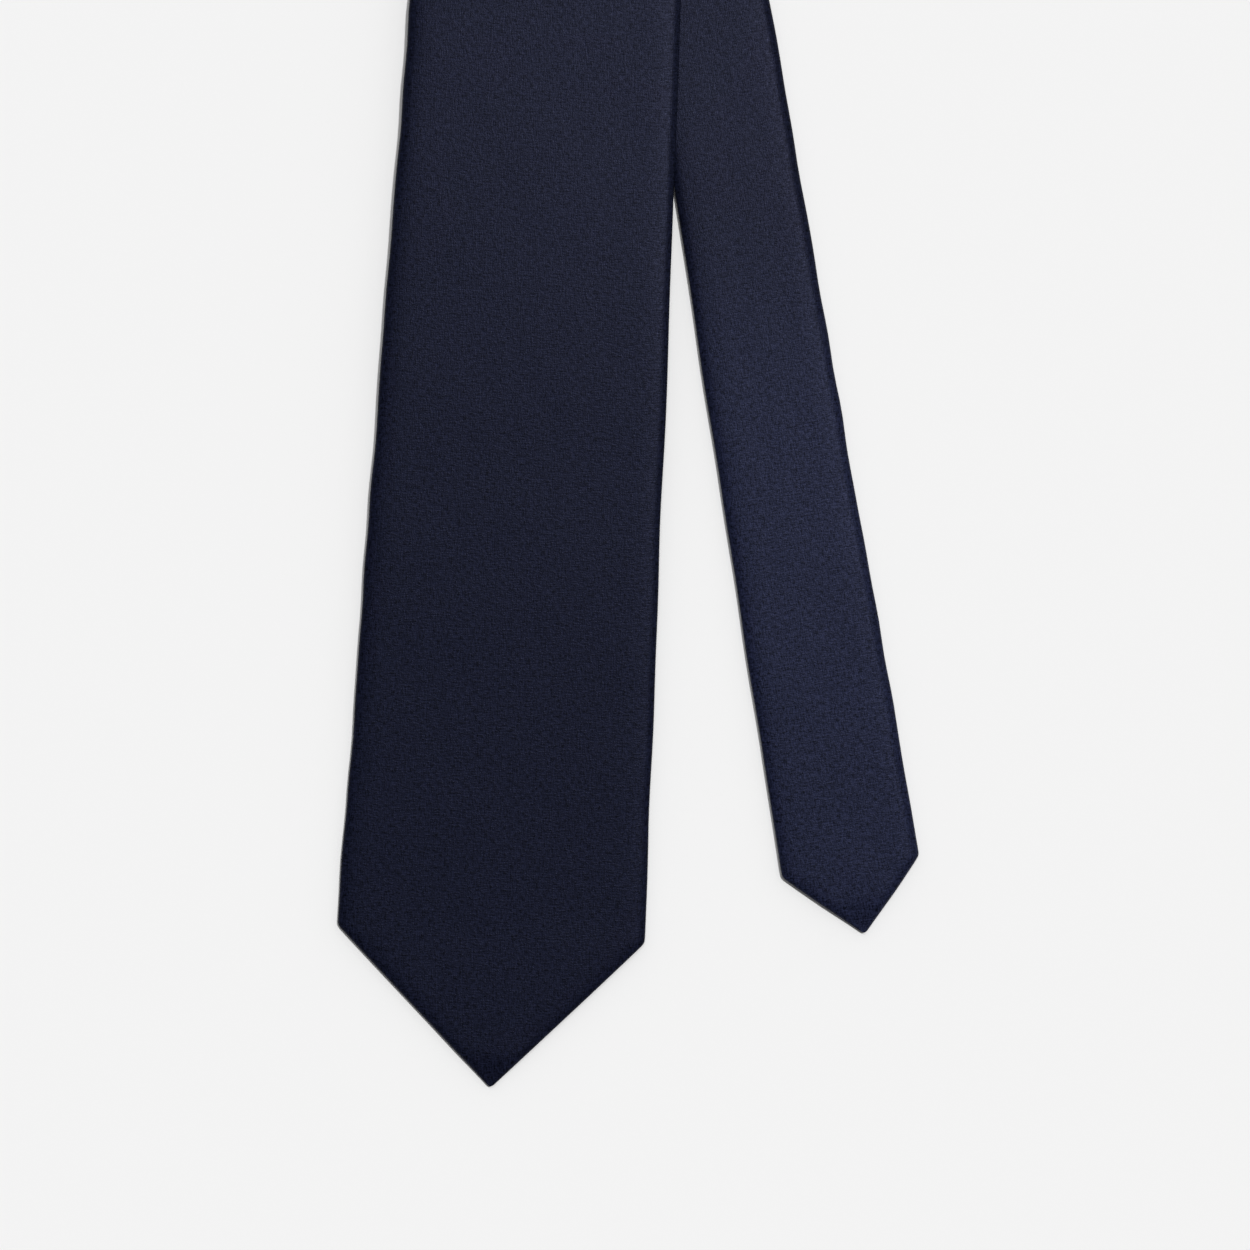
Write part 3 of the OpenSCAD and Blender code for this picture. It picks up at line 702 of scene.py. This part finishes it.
# The step in the interlining starts and ends this far past the lower flap's edge, or this far from the left
# roll where the blade is too narrow for that.
STEP_IN, STEP_OUT, STEP_IN_LEFT, STEP_OUT_LEFT = 0.6, 1.5, 0.4, 0.25
THIN_COLUMNS, THICK_COLUMNS, TIPPING_COLUMNS, PATCH_COLUMNS = 12, 6, 16, 17


def across_between(u0, u1, columns):
    """A row of places from u0 to u1 for each station."""
    share = np.linspace(0, 1, columns)
    return np.outer(u0, 1 - share) + np.outer(u1, share)


def add_interlining(name, st, node, body, tipped=-1.0):
    """Thick under the upper flap, thinner over the lower flap and the tipping, with a step between them."""
    tuck_inside = TUCK_H + SILK_T
    right, left = st.half - LOWER_ROLL_X - GAP, -(st.half - UPPER_ROLL_X - GAP)
    step_in = -np.minimum(TUCK_PAST + STEP_IN, st.half - UPPER_ROLL_X - STEP_IN_LEFT)
    step_out = -np.minimum(TUCK_PAST + STEP_OUT, st.half - UPPER_ROLL_X - STEP_OUT_LEFT)
    on_tipping = st.point_distance < tipped
    thin = tuck_inside + GAP + np.where(on_tipping, TIPPING_T + GAP, 0)
    thick = np.where(on_tipping, tuck_inside + TIPPING_T + 2 * GAP, -HALF_T + SILK_T + GAP)
    u = np.hstack([across_between(right, step_in, THIN_COLUMNS),
                   across_between(step_out, left, THICK_COLUMNS)])
    low = np.stack([thin] * THIN_COLUMNS + [thick] * THICK_COLUMNS, 1)
    obj = slab_between(name, st, u, low, np.full_like(u, HALF_T - SILK_T - GAP))
    add_piece(obj, node, "interlining", body)
    declare(obj, st, right - left)


def add_tipping(name, st, node, body):
    """The lining of a point, between the silk's lower flap and the interlining."""
    half, low = st.half - TIPPING_IN, TUCK_H + SILK_T + GAP
    u = across_between(half, -half, TIPPING_COLUMNS)
    obj = slab_between(name, st, u, np.full_like(u, low), np.full_like(u, low + TIPPING_T))
    add_piece(obj, node, "tipping", body)
    declare(obj, st, 2 * half)


THIN_EDGE, PATCH_EDGE = 0.25, 0.3          # the share of a patch's thickness at its rim, and the rim's width


def rim_places(edge):
    """Places close together over a rounded edge."""
    return edge * (1 - np.cos(np.radians([0, 25, 50, 70])))


def patch_places(s0, s1, step, edge=PATCH_EDGE):
    """Places along a patch from s0 to s1, close together over its rounded ends."""
    inner = np.linspace(s0 + edge, s1 - edge, int((s1 - s0) / step) + 2)
    return np.concatenate([s0 + rim_places(edge), inner, s1 - rim_places(edge)[::-1]])


def no_sag(u, s):
    return 0 * u


def add_patch(name, st, half_u, top_h, thickness, node, slot, body, sag=no_sag, edge=PATCH_EDGE):
    """A label, tag or band on the back, with rounded edges. sag moves it away from the silk."""
    inner = np.linspace(-half_u + edge, half_u - edge, PATCH_COLUMNS)
    rim = rim_places(edge)
    columns = np.concatenate([-half_u + rim, inner, half_u - rim[::-1]])[::-1]
    u = np.tile(columns, (len(st), 1))
    s = st.along[:, None] + 0 * u
    from_edge = np.minimum(half_u - np.abs(u), np.minimum(s - s.min(), s.max() - s))
    full = np.sqrt(1 - (1 - clamp01(from_edge / edge)) ** 2)
    half_thick = thickness / 2 * (THIN_EDGE + (1 - THIN_EDGE) * full)
    middle = top_h - thickness / 2 - sag(u, s)
    obj = slab_between(name, st, u, middle - half_thick, middle + half_thick)
    add_piece(obj, node, slot, body)
    declare(obj, st, np.full(len(st), 2 * half_u))


THREAD_SIDES, THREAD_END = 7, 0.45                  # a thread's sides, and the share of its width at its ends
NEVER_ALONG = (0.13, 0.21, 0.97)                    # a direction that no thread takes


def tube(path, radius):
    """Points, faces and strip places of a round thread along a path."""
    sides = THREAD_SIDES
    path = np.asarray(path, float)
    ahead = np.gradient(path, axis=0)
    ahead /= np.linalg.norm(ahead, axis=1)[:, None]
    beside = np.cross(ahead, NEVER_ALONG)
    beside /= np.linalg.norm(beside, axis=1)[:, None]
    over = np.cross(beside, ahead)
    angle = np.linspace(0, 2 * math.pi, sides, endpoint=False)
    ends = np.ones(len(path))
    ends[[0, -1]] = THREAD_END
    ring = np.cos(angle)[None, :, None] * beside[:, None] + np.sin(angle)[None, :, None] * over[:, None]
    points = path[:, None] + radius * ends[:, None, None] * ring
    length = np.concatenate([[0], np.cumsum(np.linalg.norm(np.diff(path, axis=0), axis=1))])
    strip = np.stack([np.broadcast_to(angle * PLY / (2 * math.pi), points.shape[:2]),
                      np.broadcast_to(length[:, None], points.shape[:2]), np.zeros(points.shape[:2])], -1)
    faces = []
    for i in range(len(path) - 1):
        for j in range(sides):
            k = (j + 1) % sides
            faces.append([i * sides + j, i * sides + k, (i + 1) * sides + k, (i + 1) * sides + j])
    faces.append(list(range(sides))[::-1])
    faces.append([(len(path) - 1) * sides + j for j in range(sides)])
    return points.reshape(-1, 3), faces, strip.reshape(-1, 3)


THREAD_SHARP = 60                          # a thread's ends are sharper than this angle, and its sides softer


def add_threads(name, paths, radius, node, body):
    """One piece from several threads."""
    points, faces, strips, count = [], [], [], 0
    for path in paths:
        p, f, s = tube(path, radius)
        faces += [[count + i for i in face] for face in f]
        points.append(p)
        strips.append(s)
        count += len(p)
    obj = make_mesh(name, np.concatenate(points), faces, np.concatenate(strips), THREAD_SHARP)
    add_piece(obj, node, "thread", body)


def on_strip(stations, places):
    """A path through (s, u, h) places."""
    s, u, h = np.array(places, float).T
    return place(stations(s), u[:, None], h[:, None])[0][:, 0]


TACK_THREADS, TACK_SPACING, TACK_FROM_CORNER = 10, 0.3, 0.8
TACK_H, TACK_CROWN, TACK_POINTS = -1.22, 0.16, 7    # height at its ends, the crown between them, points each


def bar_tack_paths(stations, notch):
    """Threads side by side across the notch where the two flaps meet, shorter into the corner."""
    paths = []
    for s in notch - TACK_FROM_CORNER - TACK_SPACING * np.arange(TACK_THREADS):
        reach = notch - s - 2 * GAP
        paths.append(on_strip(stations, [(s, u, TACK_H - TACK_CROWN * math.cos(u / reach * math.pi / 2))
                                         for u in np.linspace(-reach, reach, TACK_POINTS)]))
    return paths


# The slip stitch: where its hidden thread runs, and the short stitches that come out over the flap's edge,
# each as places along the strip, across it and above its middle.
SLIP_U, SLIP_SWAY, SLIP_H = -4.3, 0.12, -HALF_T + SILK_T + GAP + 0.14
SLIP_EVERY, SLIP_FIRST, SLIP_LAST = 8.0, 3.0, 4.0
SLIP_STITCH = [(0, 3.35, -HALF_T - 0.02), (0.2, 3.75, -HALF_T - 0.06), (0.5, 4.12, -1.22), (0.8, 4.3, -0.92),
               (1.1, 4.75, -0.84)]


def slip_paths(stations, start, end):
    """The hidden slip stitch under the upper flap, and the short stitches that show at its edge."""
    hidden = [(s, SLIP_U + SLIP_SWAY * math.sin(s), SLIP_H) for s in steps(start, end, STEP)]
    paths = [on_strip(stations, hidden)]
    low, high = min(start, end), max(start, end)
    for s in np.arange(low + SLIP_FIRST, high - SLIP_LAST, SLIP_EVERY):
        paths.append(on_strip(stations, [(s + ds, u, h) for ds, u, h in SLIP_STITCH]))
    return paths


def notch_place(wide, rate, shoulder, narrows, near):
    """Where a blade's two back flaps meet. Its width is taken at a place near there."""
    return shoulder + half_width(np.array([near]), wide, rate, shoulder, narrows)[0] - HEM_W


front_notch = notch_place(FRONT_WIDTH, FRONT_TAPER, FRONT_SHOULDER, FRONT_NARROWS, near=70.0)
tail_notch = notch_place(TAIL_WIDTH, TAIL_TAPER, TAIL_SHOULDER, TAIL_NARROWS, near=30.0)
front_places = np.concatenate([TIP_PLACES, steps(PAST_TIP_PLACES, FRONT_PANEL_END, STEP, FRONT_SHOULDER,
                                                 FRONT_PANEL_END)])
tail_places = np.concatenate([steps(TAIL_SEAM, PAST_TIP_PLACES, STEP, TAIL_SHOULDER, TAIL_SEAM),
                              TIP_PLACES[::-1]])
tail_neck_places = steps(TAIL_END, TAIL_SEAM + SEAM_ROOM, STEP, TAIL_SEAM)
neck_places = steps(NECK_FROM, NECK_TO, NECK_STEP)
FRONT_FOLD, TAIL_FOLD = ("front", "neck"), ("neck", "tail")
PAST_TIPPING, PAST_NOTCH = 1.2, 12.0       # the wool's step beyond the tipping, and the slip stitch's start
TACK_THREAD_R, SLIP_THREAD_R, KEEPER_THREAD_R, LABEL_THREAD_R = 0.17, 0.13, 0.2, 0.1

add_silk("front_silk", front_stations(front_places), "front_panel", "front")
add_silk("front_fold_silk", front_fold, "front_fold_panel", FRONT_FOLD)
add_silk("neck_silk", neck_stations(neck_places), "neck_panel", "neck")
add_silk("tail_fold_silk", tail_fold, "tail_fold_panel", TAIL_FOLD)
add_silk("tail_neck_silk", tail_stations(tail_neck_places), "tail_neck_panel", "tail")
add_silk("tail_silk", tail_stations(tail_places), "tail_panel", "tail")
add_seam("front_seam_thread", front_stations([FRONT_PANEL_END + GAP, FRONT_END - GAP]),
         "front_piecing_seam", "front")
add_seam("tail_seam_thread", tail_stations([TAIL_SEAM + SEAM_W + GAP, TAIL_SEAM + GAP]),
         "tail_piecing_seam", "tail")

lining_front = steps(LINING_START, FRONT_END - GAP, STEP, FRONT_SHOULDER, TIPPED_FRONT)
lining_tail = steps(TAIL_END - GAP, LINING_START, STEP, TAIL_SHOULDER, TIPPED_TAIL)
add_interlining("front_wool", front_stations(lining_front), "front_interlining", "front",
                TIPPED_FRONT + PAST_TIPPING)
add_interlining("front_fold_wool", front_fold, "front_fold_interlining", FRONT_FOLD)
add_interlining("neck_wool", neck_stations(neck_places), "neck_interlining", "neck")
add_interlining("tail_fold_wool", tail_fold, "tail_fold_interlining", TAIL_FOLD)
add_interlining("tail_wool", tail_stations(lining_tail), "tail_interlining", "tail",
                TIPPED_TAIL + PAST_TIPPING)
add_tipping("front_lining", front_stations(steps(LINING_START, TIPPED_FRONT, FRONT_TIPPING_STEP,
                                                 FRONT_SHOULDER)), "front_tipping", "front")
add_tipping("tail_lining", tail_stations(steps(TIPPED_TAIL, LINING_START, TAIL_TIPPING_STEP,
                                               TAIL_SHOULDER)), "tail_tipping", "tail")

add_threads("front_tack_thread", bar_tack_paths(front_stations, front_notch), TACK_THREAD_R,
            "front_bar_tack", "front")
add_threads("tail_tack_thread", bar_tack_paths(tail_stations, tail_notch), TACK_THREAD_R,
            "tail_bar_tack", "tail")
add_threads("front_slip_thread", slip_paths(front_stations, front_notch + PAST_NOTCH, FRONT_END - GAP),
            SLIP_THREAD_R, "front_slip_stitch", "front")
add_threads("neck_slip_thread", slip_paths(neck_stations, NECK_FROM + GAP, NECK_TO - GAP),
            SLIP_THREAD_R, "neck_slip_stitch", "neck")
add_threads("tail_slip_thread", slip_paths(tail_stations, TAIL_END - GAP, tail_notch + PAST_NOTCH),
            SLIP_THREAD_R, "tail_slip_stitch", "tail")

# The trimmings on the back of the front blade
KEEPER_S, KEEPER_BAND, KEEPER_HALF, KEEPER_T, KEEPER_EDGE = 200.0, 11.0, 24.0, 0.8, 0.6
KEEPER_BOW, KEEPER_BOW_FROM = 0.5, 1.15    # how far it stands off, from this share of its half inwards
LABEL_T, TAG_T = 0.3, 0.2
TAG_DROOP, TAG_TWIST, TAG_FREE = 0.75, 0.02, 15.0   # its free end droops this far, more on one side


def keeper_bow(u, s):
    """How far the keeper stands off the blade, most in its middle, so that the tail's end can pass."""
    return KEEPER_BOW * ease(KEEPER_BOW_FROM - np.abs(u) / KEEPER_HALF)


def tag_droop(u, s):
    """How far the care tag hangs away from the blade, towards its free end."""
    return (TAG_DROOP + TAG_TWIST * u) * clamp01((TAG_S + TAG_FREE - s) / TAG_FREE) ** 2


add_patch("keeper_band", front_stations(patch_places(KEEPER_S, KEEPER_S + KEEPER_BAND, 1.5, KEEPER_EDGE)),
          KEEPER_HALF, -HALF_T - 0.1, KEEPER_T, "keeper_loop", "silk", "front", keeper_bow, KEEPER_EDGE)
add_patch("blank_label", front_stations(patch_places(LABEL_S, LABEL_S + LABEL_H, 2.5)), LABEL_HALF,
          -HALF_T - GAP, LABEL_T, "brand_label", "label", "front")
add_patch("blank_care_tag", front_stations(patch_places(TAG_S, TAG_S + TAG_H, 1.5)), TAG_HALF,
          -HALF_T - GAP, TAG_T, "care_tag", "care_tag", "front", tag_droop)

# Stitches over each end of the keeper, from the band across its edge to the silk: places out from the
# blade's middle, and heights. Each stitch leans a little.
KEEPER_STITCH = [(23.0, -2.46), (23.7, -2.48), (24.3, -2.25), (24.9, -1.85), (25.5, -1.62), (26.1, -1.5)]
KEEPER_STITCHES, KEEPER_FIRST, KEEPER_SPACING, KEEPER_LEAN = 4, 1.1, 2.9, 0.05

keeper_paths = []
for side in (-1, 1):
    for i in range(KEEPER_STITCHES):
        s = KEEPER_S + KEEPER_FIRST + KEEPER_SPACING * i
        keeper_paths.append(on_strip(front_stations, [(s + KEEPER_LEAN * k, side * u, h)
                                                      for k, (u, h) in enumerate(KEEPER_STITCH)]))
add_threads("keeper_thread", keeper_paths, KEEPER_THREAD_R, "keeper_stitches", "front")

# A flat running stitch, which lies over a label between the two places where it goes through.
RUNNING_STITCH = [(0, 0), (0.3, -0.11), (1, -0.13), (1.7, -0.11), (2, 0)]
STITCH_LONG = RUNNING_STITCH[-1][0]
LABEL_STITCHES, LABEL_FIRST, LABEL_STITCH_IN, LABEL_STITCH_H = 7, 2.0, 1.2, -1.8
TAG_STITCHES, TAG_FIRST, TAG_STITCH_IN, TAG_STITCH_H = 6, 1.2, 1.45, -1.7

label_paths = []
label_spacing = (LABEL_H - 2 * LABEL_FIRST - STITCH_LONG) / (LABEL_STITCHES - 1)
for side in (-1, 1):
    for i in range(LABEL_STITCHES):
        s, u = LABEL_S + LABEL_FIRST + i * label_spacing, side * (LABEL_HALF - LABEL_STITCH_IN)
        label_paths.append(on_strip(front_stations, [(s + d, u, LABEL_STITCH_H + h)
                                                     for d, h in RUNNING_STITCH]))
add_threads("label_thread", label_paths, LABEL_THREAD_R, "label_stitches", "front")

tag_paths = []
tag_spacing = (2 * (TAG_HALF - TAG_FIRST) - STITCH_LONG) / (TAG_STITCHES - 1)
for i in range(TAG_STITCHES):
    s, u = TAG_S + TAG_H - TAG_STITCH_IN, -TAG_HALF + TAG_FIRST + i * tag_spacing
    tag_paths.append(on_strip(front_stations, [(s, u + d, TAG_STITCH_H + h) for d, h in RUNNING_STITCH]))
add_threads("care_tag_thread", tag_paths, LABEL_THREAD_R, "care_tag_stitches", "front")

# ---------------------------------------------------------------- The stage, the light and the camera
FLOOR_SIZE, FLOOR_Z, FLOOR_COLOUR = 6.0, -0.0002, (0.86, 0.86, 0.86, 1)
bpy.ops.mesh.primitive_plane_add(size=FLOOR_SIZE, location=(0, 0, FLOOR_Z))
floor = bpy.context.object
floor.name = "floor"
floor_finish = Shader("floor")
floor_finish.set(Base_Color=FLOOR_COLOUR, Roughness=1.0, Specular_IOR_Level=0.0)
floor.data.materials.append(floor_finish.material)

# A bright room, brighter towards the upper right of the view, so that the silk's sheen grows that way.
ROOM_LIGHT, ROOM_SLOPE, ROOM_CONTRAST, ROOM_RUN = 0.288, (0.45, 1.0), 0.7, 0.6
world = bpy.data.worlds.new("room")
bpy.context.scene.world = world
world.use_nodes = True
room = world.node_tree
way = room.nodes.new("ShaderNodeTexCoord")
slope = room.nodes.new("ShaderNodeVectorMath")
slope.operation = "DOT_PRODUCT"
slope.inputs[1].default_value = (*ROOM_SLOPE, 0)
level = room.nodes.new("ShaderNodeMapRange")
level.inputs["From Min"].default_value = -ROOM_RUN
level.inputs["From Max"].default_value = ROOM_RUN
level.inputs["To Min"].default_value = ROOM_LIGHT * (1 - ROOM_CONTRAST)
level.inputs["To Max"].default_value = ROOM_LIGHT * (1 + ROOM_CONTRAST)
room.links.new(way.outputs["Generated"], slope.inputs[0])
room.links.new(slope.outputs["Value"], level.inputs["Value"])
room.links.new(level.outputs[0], room.nodes["Background"].inputs["Strength"])
room.nodes["Background"].inputs["Color"].default_value = (1, 1, 1, 1)

# Each lamp: strength, how soft, and its tilt towards +X and towards +Y. The first gives the thin shadow on
# the left edges, and the second the sheen that grows towards the neck.
LAMPS = {"key": (2.05, 3, 12, 12), "sheen": (0.45, 14, -2, 20)}
for name, (strength, softness, tilt_x, tilt_y) in LAMPS.items():
    lamp_data = bpy.data.lights.new(name, "SUN")
    lamp_data.energy, lamp_data.angle = strength, math.radians(softness)
    lamp = bpy.data.objects.new(name, lamp_data)
    lamp.rotation_euler = (math.radians(-tilt_y), math.radians(tilt_x), 0)
    bpy.context.scene.collection.objects.link(lamp)

FRAME_SIZE, LENS, SENSOR = 323.8, 100.0, 36.0      # how much of the tie the view takes in, and the lens
VIEW_RIGHT, VIEW_UP = 35.0, 119.8                  # the view's centre, from the front blade's tip
tip = front_stations([0.0]).middle[0]
view_height = FRAME_SIZE * LENS / SENSOR + STRIP_T
camera_data = bpy.data.cameras.new("camera")
camera_data.lens, camera_data.sensor_width = LENS, SENSOR
camera = bpy.data.objects.new("camera", camera_data)
camera.location = ((tip[0] + VIEW_RIGHT) * MM, (tip[1] + VIEW_UP) * MM, view_height * MM)
bpy.context.scene.collection.objects.link(camera)
bpy.context.scene.camera = camera
bpy.context.scene.view_settings.view_transform = "Standard"
